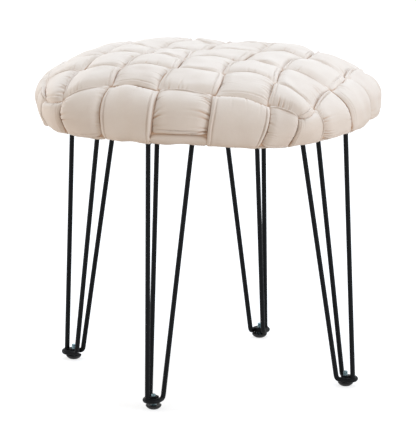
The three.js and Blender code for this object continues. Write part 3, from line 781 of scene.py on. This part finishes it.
def add_ramp(tree, factor, stops):
    """Colours between stops, each of which has its place along the factor."""
    node = add_node(tree, "ValToRGB")
    elements = node.color_ramp.elements
    for element, (place, colour) in zip(elements, (stops[0], stops[-1])):
        element.position = place
        element.color = (*colour, 1)
    for place, colour in stops[1:-1]:
        elements.new(place).color = (*colour, 1)
    tree.links.new(factor, node.inputs["Fac"])
    return node.outputs["Color"]


def grained_material(name, noise, stops, values, bumps=(), stretch=(1, 1, 1)):
    """A material whose colour follows noise, given with that noise. The first bump lies on
    top of the ones after it."""
    material, tree, shader = new_material(name)
    mapping = add_node(tree, "Mapping", Scale=stretch)
    tree.links.new(add_node(tree, "TexCoord").outputs["Object"], mapping.inputs["Vector"])
    coords = mapping.outputs["Vector"]
    factor = add_noise(tree, coords, noise)
    tree.links.new(add_ramp(tree, factor, stops), shader.inputs["Base Color"])
    set_values(shader, values)
    normal = shader.inputs["Normal"]
    for bump_noise, bump_values in bumps:
        node = add_node(tree, "Bump", **bump_values)
        tree.links.new(add_noise(tree, coords, bump_noise), node.inputs["Height"])
        tree.links.new(node.outputs["Normal"], normal)
        normal = node.inputs["Normal"]
    return material, factor


def matte_material(name, noise, stops, roughness, strength, height, stretch=(1, 1, 1)):
    """A matte material, whose bumps follow the noise of its colour."""
    bumps = [bump(noise, strength, height)]
    return grained_material(name, noise, stops, {"Roughness": roughness}, bumps, stretch)[0]


def velvet_material():
    """Cream velvet, with painted shade: it turns brown where the mesh's painted shade value is
    high.
    """
    material, _ = grained_material(
        "velvet_cream",
        grain(scale=14, detail=4, roughness=0.6),
        stops=[
            (0.3, (0.76, 0.685, 0.625)),
            (0.5, (0.8, 0.735, 0.675)),
            (0.7, (0.83, 0.765, 0.71)),
        ],
        values={
            "Roughness": 0.9,
            "Specular IOR Level": 0.2,
            "Sheen Weight": 0.6,
            "Sheen Roughness": 0.4,
            "Sheen Tint": (1, 0.98, 0.95, 1),
        },
        bumps=[
            bump(grain(scale=220, detail=3, roughness=0.6), strength=0.3, height=0.6),
            bump(grain(scale=1400, detail=2, roughness=0.6), strength=0.25, height=0.4),
        ],
    )
    tree = material.node_tree
    base = tree.nodes["Principled BSDF"].inputs["Base Color"]
    clean = base.links[0].from_socket
    painted_shade = add_node(tree, "Attribute")
    painted_shade.attribute_name = "painted_shade"
    mix = add_node(tree, "Mix")
    mix.data_type = "RGBA"
    tree.links.new(painted_shade.outputs["Fac"], mix.inputs["Factor"])
    tree.links.new(clean, mix.inputs["A"])
    # Painted shade: the brown that the velvet turns to in creases, folds and under lips
    mix.inputs["B"].default_value = (0.62, 0.44, 0.32, 1)
    tree.links.new(mix.outputs["Result"], base)
    return material


def paint_material():
    """Black satin paint, a little rougher where it is paler."""
    material, wear = grained_material(
        "black_satin_paint",
        grain(scale=60, detail=4, roughness=0.6),
        stops=[(0.35, (0.002, 0.0024, 0.003)), (0.7, (0.005, 0.006, 0.0075))],
        values={"Specular IOR Level": 0.13},
        bumps=[bump(grain(scale=900, detail=2), strength=0.1, height=0.1)],
    )
    tree = material.node_tree
    roughness = add_node(tree, "MapRange")
    set_values(roughness, {"To Min": 0.45, "To Max": 0.6})
    tree.links.new(wear, roughness.inputs["Value"])
    shader = tree.nodes["Principled BSDF"]
    tree.links.new(roughness.outputs["Result"], shader.inputs["Roughness"])
    return material


VELVET = velvet_material()
PAINT = paint_material()
ZINC, _ = grained_material(
    "zinc_plate",
    grain(scale=240, detail=4, roughness=0.6),
    stops=[(0.3, (0.2, 0.3, 0.33)), (0.7, (0.34, 0.45, 0.48))],
    values={"Metallic": 1, "Roughness": 0.32},
)
PLASTIC, _ = grained_material(
    "black_plastic",
    grain(scale=150, detail=3),
    stops=[(0.3, (0.004, 0.004, 0.0045)), (0.7, (0.009, 0.009, 0.0095))],
    values={"Roughness": 0.5, "Specular IOR Level": 0.3},
    bumps=[bump(grain(scale=1600, detail=2), strength=0.3, height=0.1)],
)
PLYWOOD = matte_material(
    "birch_plywood",
    grain(scale=1, detail=5, roughness=0.6),
    stops=[(0.3, (0.42, 0.28, 0.15)), (0.7, (0.66, 0.49, 0.3))],
    roughness=0.7,
    strength=0.2,
    height=0.4,
    stretch=(4, 60, 700),
)
FOAM = matte_material(
    "foam_cream",
    grain(scale=500, detail=3, roughness=0.7),
    stops=[(0.3, (0.62, 0.52, 0.3)), (0.7, (0.8, 0.7, 0.45))],
    roughness=1,
    strength=0.6,
    height=1,
)
LINING = matte_material(
    "black_lining",
    grain(scale=420, detail=4, roughness=0.7),
    stops=[(0.3, (0.008, 0.008, 0.009)), (0.7, (0.03, 0.03, 0.032))],
    roughness=0.95,
    strength=0.5,
    height=0.5,
)


# Seat


def add_soft_piece(name, rings, material, node, looped=False):
    piece = ring_mesh(name, rings, material, looped)
    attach(piece, "stool")
    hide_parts(node)


def add_woven_piece(node, rings, looped=False):
    add_soft_piece(f"woven_{node}", settle(rings), VELVET, node, looped)


def build_weave():
    for i in range(STRAPS_EACH_WAY):
        add_woven_piece(f"strap_x_{i + 1}", strap_rings(i - HALF_COUNT, ALONG_X))
        along_y = strap_rings(HALF_COUNT - 1 - i, ALONG_Y)
        along_y[..., :3] = turn_round_z(along_y[..., :3], QUARTER_TURN)
        add_woven_piece(f"strap_y_{i + 1}", along_y)
    add_woven_piece("ring_band", band_rings(), looped=True)


def outline_ways():
    angles = np.arange(SEAT_STEPS) * 2 * math.pi / SEAT_STEPS
    return np.stack([np.cos(angles), np.sin(angles)], -1)


def build_foam():
    ways = outline_ways()
    reach = outline_reach(*ways.T)[:, None]
    bottom = np.full((SEAT_STEPS, 1), FOAM_BOTTOM)
    rings = [np.concatenate([ways * (reach - FOAM_DEPTH_UNDER_WEAVE), bottom], 1)]
    for share in FOAM_RING_SHARES:
        points, normals = crown_places(*(ways * reach * share).T)
        rings.append(points - normals * FOAM_DEPTH_UNDER_WEAVE)
    cushion = settle(np.stack(rings))
    cushion[..., 2] = np.maximum(cushion[..., 2], FOAM_BOTTOM)
    add_soft_piece("foam_cushion", cushion, FOAM, "foam_core")


def build_dust_cover():
    """A sheet of rings of faces, closed by a fan, and its flat size from its outline."""
    ways = outline_ways()
    outline = ways * (outline_reach(*ways.T)[:, None] - DUST_COVER_INSET)
    shares = np.linspace(1, 0, DUST_COVER_STEPS, endpoint=False)
    points = [[*place * share, DUST_COVER_HEIGHT] for share in shares for place in outline]
    points.append([0, 0, DUST_COVER_HEIGHT])
    following = [(j + 1) % SEAT_STEPS for j in range(SEAT_STEPS)]
    faces = []
    for outer in range(0, (len(shares) - 1) * SEAT_STEPS, SEAT_STEPS):
        inner = outer + SEAT_STEPS
        faces += [[outer + j, inner + j, inner + k, outer + k] for j, k in enumerate(following)]
    middle = len(points) - 1
    last = middle - SEAT_STEPS
    faces += [[last + j, middle, last + k] for j, k in enumerate(following)]
    piece = mesh_object("dust_sheet", points, faces, LINING)
    thickness = piece.modifiers.new("thickness", "SOLIDIFY")
    thickness.thickness = DUST_COVER_THICKNESS * MM
    thickness.offset = 0
    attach(piece, "stool")
    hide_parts("dust_cover")


# Legs


def on_leg(points, leg):
    """Places what is drawn with its foot at the origin and the seat towards +Y."""
    at_front = turn_round_z(points, LEG_TWIST) + (0, -FOOT_RADIUS, 0)
    return turn_round_z(at_front, leg * QUARTER_TURN)


def add_hard_piece(name, rings, leg, material, body, node, looped=False):
    piece = ring_mesh(name, on_leg(np.asarray(rings, dtype=float), leg), material, looped)
    mesh = bmesh.new()
    mesh.from_mesh(piece.data)
    bmesh.ops.recalc_face_normals(mesh, faces=mesh.faces)
    mesh.to_mesh(piece.data)
    mesh.free()
    piece.data.set_sharp_from_angle(angle=SHARP_ANGLE)
    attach(piece, body)
    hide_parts(node)


def add_painted_piece(name, rings, leg, node, looped=False):
    add_hard_piece(name, rings, leg, PAINT, "stool", node, looped)


def tube_rings(path, radii):
    """Round sections along a path, with their sides carried along without twist."""
    path = np.array(path)
    tangents = unit(np.gradient(path, axis=0))
    side = unit(np.cross(tangents[0], SIDE_START))
    angles = np.arange(ROUND_SIDES)[:, None] * 2 * math.pi / ROUND_SIDES
    rings = []
    for point, tangent, radius in zip(path, tangents, radii):
        side = unit(side - tangent * np.dot(side, tangent))
        other = np.cross(tangent, side)
        rings.append(point + radius * (np.cos(angles) * side + np.sin(angles) * other))
    return np.array(rings)


def levelled(ring, way, height):
    """A section slid along its rod until it lies level at a height."""
    return ring + way * ((height - ring[:, 2]) / way[2])[:, None]


def weld_stations(end, way):
    """Path and radii of a rod from a welded end."""
    path = [end + way * drop for drop in WELD_DROPS]
    return path, [COATED_ROD_RADIUS + flare for flare in WELD_FLARES]


def arm_stations(side, height):
    """Path and radii of one arm from its welded top down into the loop, and its way down."""
    top = np.array([ARM_TOP_SIDE_SHIFT + side * ARM_TOP_HALF_SPREAD, ARM_TOP_INWARD, ROD_TOP])
    corner = np.array([side * LOOP_RADIUS, ARM_FOOT_INWARD, height])
    up, level = unit(top - corner), np.array([0, -1, 0])
    reach = LOOP_BEND_RADIUS * math.tan((math.pi - math.acos(np.dot(up, level))) / 2)
    start, end = corner + up * reach, corner + level * reach
    path, radii = weld_stations(top, -up)
    for share in np.linspace(0, 1, LOOP_BEND_STEPS):
        path.append((1 - share) ** 2 * start + 2 * share * (1 - share) * corner + share**2 * end)
        radii.append(COATED_ROD_RADIUS)
    return path, radii, -up


def add_rods(leg, name):
    height = LOOP_HEIGHT + LEG_RAISES[leg]
    path, radii, first_way = arm_stations(-1, height)
    back_path, back_radii, last_way = arm_stations(1, height)
    for angle in np.linspace(0, math.pi, LOOP_STEPS):
        outwards = LOOP_OUTWARD_SHIFT + LOOP_RADIUS * math.sin(angle)
        path.append(np.array([-LOOP_RADIUS * math.cos(angle), -outwards, height]))
        radii.append(COATED_ROD_RADIUS)
    rings = tube_rings(path + back_path[::-1], radii + back_radii[::-1])
    rings[0] = levelled(rings[0], first_way, ROD_TOP)
    rings[-1] = levelled(rings[-1], last_way, ROD_TOP)
    add_painted_piece(f"{name}_bent_rod", rings, leg, f"{name}_hairpin_rod")

    top = np.array([*OUTER_ROD_TOP, ROD_TOP])
    foot = np.array([*OUTER_ROD_FOOT, height + ROD_RADIUS - WELD_DROPS[-1] / 2])
    up = unit(top - foot)
    path, radii = weld_stations(top, -up)
    foot_path, foot_radii = weld_stations(foot, up)
    rings = tube_rings(path + foot_path[::-1], radii + foot_radii[::-1])
    rings[0] = levelled(rings[0], -up, ROD_TOP)
    add_painted_piece(f"{name}_straight_rod", rings, leg, f"{name}_outer_rod")


def turned_rings(profile, radius_at=lambda radius, height, angles: radius):
    """Sections round the Z axis for a profile of radii and heights."""
    angles = np.arange(2 * ROUND_SIDES) * math.pi / ROUND_SIDES
    rings = []
    for radius, height in profile:
        reach = np.broadcast_to(radius_at(radius, height, angles), angles.shape)
        heights = np.full_like(angles, height)
        rings.append(np.stack([reach * np.cos(angles), reach * np.sin(angles), heights], -1))
    return np.array(rings)


def hexagon_radius(radius, height, angles):
    """The radius, cut back to the nut's flats. The bore stays round."""
    if radius <= NUT_BORE_RADIUS:
        return radius
    off_middle = (angles + NUT_SIDE_TURN / 2) % NUT_SIDE_TURN - NUT_SIDE_TURN / 2
    return np.minimum(NUT_HALF_WIDTH / np.cos(off_middle), radius)


def add_nut(leg, name):
    bottom = LOOP_HEIGHT + LEG_RAISES[leg] - NUT_BELOW_LOOP
    top = bottom + NUT_BELOW_LOOP + NUT_ABOVE_LOOP
    corner = NUT_HALF_WIDTH / math.cos(NUT_SIDE_TURN / 2)
    face_radius = corner - NUT_CHAMFER
    chamfer = [(corner - NUT_CHAMFER * (1 - share), NUT_CHAMFER * share**NUT_CHAMFER_POWER / 2)
               for share in NUT_CHAMFER_SHARES]
    profile = [(NUT_BORE_RADIUS, bottom), (face_radius, bottom)]
    profile += [(radius, bottom + drop) for radius, drop in chamfer]
    profile += [(radius, top - drop) for radius, drop in chamfer[::-1]]
    profile += [(face_radius, top), (NUT_BORE_RADIUS, top)]
    rings = turned_rings(profile, hexagon_radius)
    add_painted_piece(f"{name}_hex_collar", rings, leg, f"{name}_weld_nut", looped=True)


def thread_radius(radius, height, angles):
    """The radius with a thread cut into it, which fades in above the flange."""
    if height <= STUD_NECK + THREAD_PITCH / 2 or radius < STUD_RADIUS:
        return radius
    turn = (height / THREAD_PITCH - angles / (2 * math.pi)) % 1
    fade = min(1, (height - STUD_NECK) / THREAD_PITCH - HALF_WAY)
    return radius - THREAD_DEPTH * fade * np.abs(2 * turn - 1)


def add_leveller(leg, name):
    body = f"{name}_leveller"
    profile = [
        (FLANGE_RADIUS - STUD_EDGE, FLANGE_BOTTOM),
        (FLANGE_RADIUS, FLANGE_BOTTOM + STUD_EDGE),
        (FLANGE_RADIUS, STUD_NECK - STUD_EDGE),
        (FLANGE_RADIUS - STUD_EDGE, STUD_NECK),
        (STUD_RADIUS + 2 * STUD_EDGE, STUD_NECK),
        (STUD_RADIUS, STUD_NECK + STUD_EDGE),
    ]
    thread = (STUD_NECK + THREAD_PITCH / 2, STUD_TOP - 2 * STUD_EDGE)
    profile += [(STUD_RADIUS, height) for height in np.arange(*thread, THREAD_PITCH / THREAD_STEPS)]
    profile += [
        (STUD_RADIUS - THREAD_DEPTH, STUD_TOP - STUD_EDGE),
        (STUD_RADIUS - 2 * THREAD_DEPTH, STUD_TOP),
    ]
    stud = turned_rings(profile, thread_radius)
    add_hard_piece(f"{name}_threaded_stud", stud, leg, ZINC, body, f"{name}_stud")
    pad = turned_rings(PAD_PROFILE)
    add_hard_piece(f"{name}_rubber_foot", pad, leg, PLASTIC, body, f"{name}_pad")


def screw_rings():
    """One screw on the Z axis, with its domed head and crossed recess downwards."""
    shank = [(SCREW_TIP_RADIUS, SCREW_TIP), (SCREW_RADIUS, SCREW_TIP - SCREW_POINT),
             (SCREW_RADIUS, ROD_TOP), (SCREW_HEAD_RADIUS, ROD_TOP)]
    dome = []
    for share in SCREW_HEAD_SHARES:
        radius = SCREW_HEAD_RADIUS * (1 - share)
        depth = SCREW_HEAD_HEIGHT * math.sqrt(1 - (radius / SCREW_HEAD_RADIUS) ** 2)
        dome.append((radius, ROD_TOP - depth))
    rings = turned_rings(shank + dome)
    head = rings[len(shank):]
    reach = np.hypot(head[..., 0], head[..., 1])
    off = np.minimum(np.abs(head[..., 0]), np.abs(head[..., 1]))
    slot = smoothstep(off, (RECESS_HALF_WIDTH, RECESS_HALF_WIDTH / 2))
    head[..., 2] += RECESS_DEPTH * slot * smoothstep(reach, (RECESS_RADIUS, RECESS_RADIUS / 2))
    return rings


def add_screws(leg, name):
    """Each screw is driven in to a different angle, in radians."""
    for i, place in enumerate(SCREW_PLACES):
        rings = turn_round_z(screw_rings(), i + leg) + (*place, 0)
        node = f"{name}_screw_{i + 1}"
        add_hard_piece(f"{name}_wood_screw_{i + 1}", rings, leg, ZINC, "stool", node)


build_weave()
build_foam()
build_dust_cover()

for leg, name in enumerate(LEG_NAMES):
    add_rods(leg, name)
    add_nut(leg, name)
    add_leveller(leg, name)
    add_screws(leg, name)

# The seat board and the plates keep the CAD model's shape and get only a material
CAD_LOOKS = {"seat_board": PLYWOOD, **{f"{name}_plate": PAINT for name in LEG_NAMES}}
for name, looks in CAD_LOOKS.items():
    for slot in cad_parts[name].material_slots:
        slot.material = looks


# Camera, fitted to the photograph

CAMERA_TURN = math.radians(21.33)
CAMERA_ELEVATION = math.radians(13.24)
CAMERA_ROLL = math.radians(0.18)
CAMERA_DISTANCE = 6293
CAMERA_TARGET = (0.5, 0, 224.2)
CAMERA_LENS = 369
CAMERA_SENSOR = 36


def build_camera():
    data = bpy.data.cameras.new("camera")
    data.lens = CAMERA_LENS
    data.sensor_width = CAMERA_SENSOR
    camera = bpy.data.objects.new("camera", data)
    level = math.cos(CAMERA_ELEVATION)
    back = Vector((
        math.sin(CAMERA_TURN) * level,
        -math.cos(CAMERA_TURN) * level,
        math.sin(CAMERA_ELEVATION),
    ))
    camera.location = (Vector(CAMERA_TARGET) + back * CAMERA_DISTANCE) * MM
    look = (-back).to_track_quat("-Z", "Y").to_matrix()
    camera.rotation_euler = (look @ Matrix.Rotation(-CAMERA_ROLL, 3, "Z")).to_euler()
    bpy.context.scene.collection.objects.link(camera)
    bpy.context.scene.camera = camera


# Studio: a floor and surroundings that are seen as white but light the stool less, and lamps,
# each with its width, power in watts, colour and place

WORLD_COLOUR = (1, 0.94, 0.88, 1)
WORLD_STRENGTH = 0.64
WHITE = (1, 1, 1, 1)
FLOOR_HALF_WIDTH = 6000
FLOOR_COLOUR = (0.52, 0.54, 0.56, 1)
FLOOR_GLOW = 0.72
FLOOR_BOUNCE_COLOUR = (0.64, 0.52, 0.42, 1)
SEAT_MIDDLE = (0, 0, 400)
LAMPS = {
    "top_lamp": (2000, 38, (0.83, 1, 1.19), (-200, 1050, 2600)),
    "right_lamp": (1400, 27, (0.9, 1, 1.12), (2900, -650, 850)),
    "left_lamp": (1200, 33, (0.97, 0.98, 1), (-2700, -500, 200)),
}


def add_shown_white(tree):
    """1 for rays that should see plain white: from the camera, reflected or let through."""
    path = add_node(tree, "LightPath")
    total = path.outputs["Is Camera Ray"]
    for name in ("Is Glossy Ray", "Is Transmission Ray"):
        highest = add_node(tree, "Math")
        highest.operation = "MAXIMUM"
        tree.links.new(total, highest.inputs[0])
        tree.links.new(path.outputs[name], highest.inputs[1])
        total = highest.outputs["Value"]
    return total


def add_switch(tree, lit, shown, output):
    """Gives a surface one shader for the rays that light and another for those that show it."""
    mix = add_node(tree, "MixShader")
    tree.links.new(add_shown_white(tree), mix.inputs["Fac"])
    tree.links.new(lit, mix.inputs[1])
    tree.links.new(shown, mix.inputs[2])
    tree.links.new(mix.outputs["Shader"], tree.nodes[output].inputs["Surface"])


def build_world():
    world = bpy.data.worlds.new("studio")
    bpy.context.scene.world = world
    world.use_nodes = True
    tree = world.node_tree
    light = tree.nodes["Background"]
    set_values(light, {"Color": WORLD_COLOUR, "Strength": WORLD_STRENGTH})
    white = add_node(tree, "Background", Color=WHITE, Strength=1)
    add_switch(tree, light.outputs["Background"], white.outputs["Background"], "World Output")


def build_floor():
    material, tree, shader = new_material("studio_floor")
    set_values(shader, {"Base Color": FLOOR_COLOUR, "Roughness": 1, "Specular IOR Level": 0})
    glow = add_node(tree, "Emission", Strength=FLOOR_GLOW)
    shown = add_node(tree, "AddShader")
    tree.links.new(shader.outputs["BSDF"], shown.inputs[0])
    tree.links.new(glow.outputs["Emission"], shown.inputs[1])
    bounce = add_node(tree, "BsdfDiffuse", Color=FLOOR_BOUNCE_COLOUR)
    add_switch(tree, bounce.outputs["BSDF"], shown.outputs["Shader"], "Material Output")
    w = FLOOR_HALF_WIDTH
    corners = [(-w, -w, 0), (w, -w, 0), (w, w, 0), (-w, w, 0)]
    floor = mesh_object("floor", corners, [[0, 1, 2, 3]], material)


def add_lamp(name, width, power, colour, place):
    data = bpy.data.lights.new(name, "AREA")
    data.shape = "DISK"
    data.size = width * MM
    data.energy = power
    data.color = colour
    lamp = bpy.data.objects.new(name, data)
    lamp.location = Vector(place) * MM
    way = Vector(SEAT_MIDDLE) - Vector(place)
    lamp.rotation_euler = way.to_track_quat("-Z", "Y").to_euler()
    bpy.context.scene.collection.objects.link(lamp)


build_camera()
build_world()
build_floor()
for name, lamp in LAMPS.items():
    add_lamp(name, *lamp)

bpy.context.scene.view_settings.view_transform = "Standard"
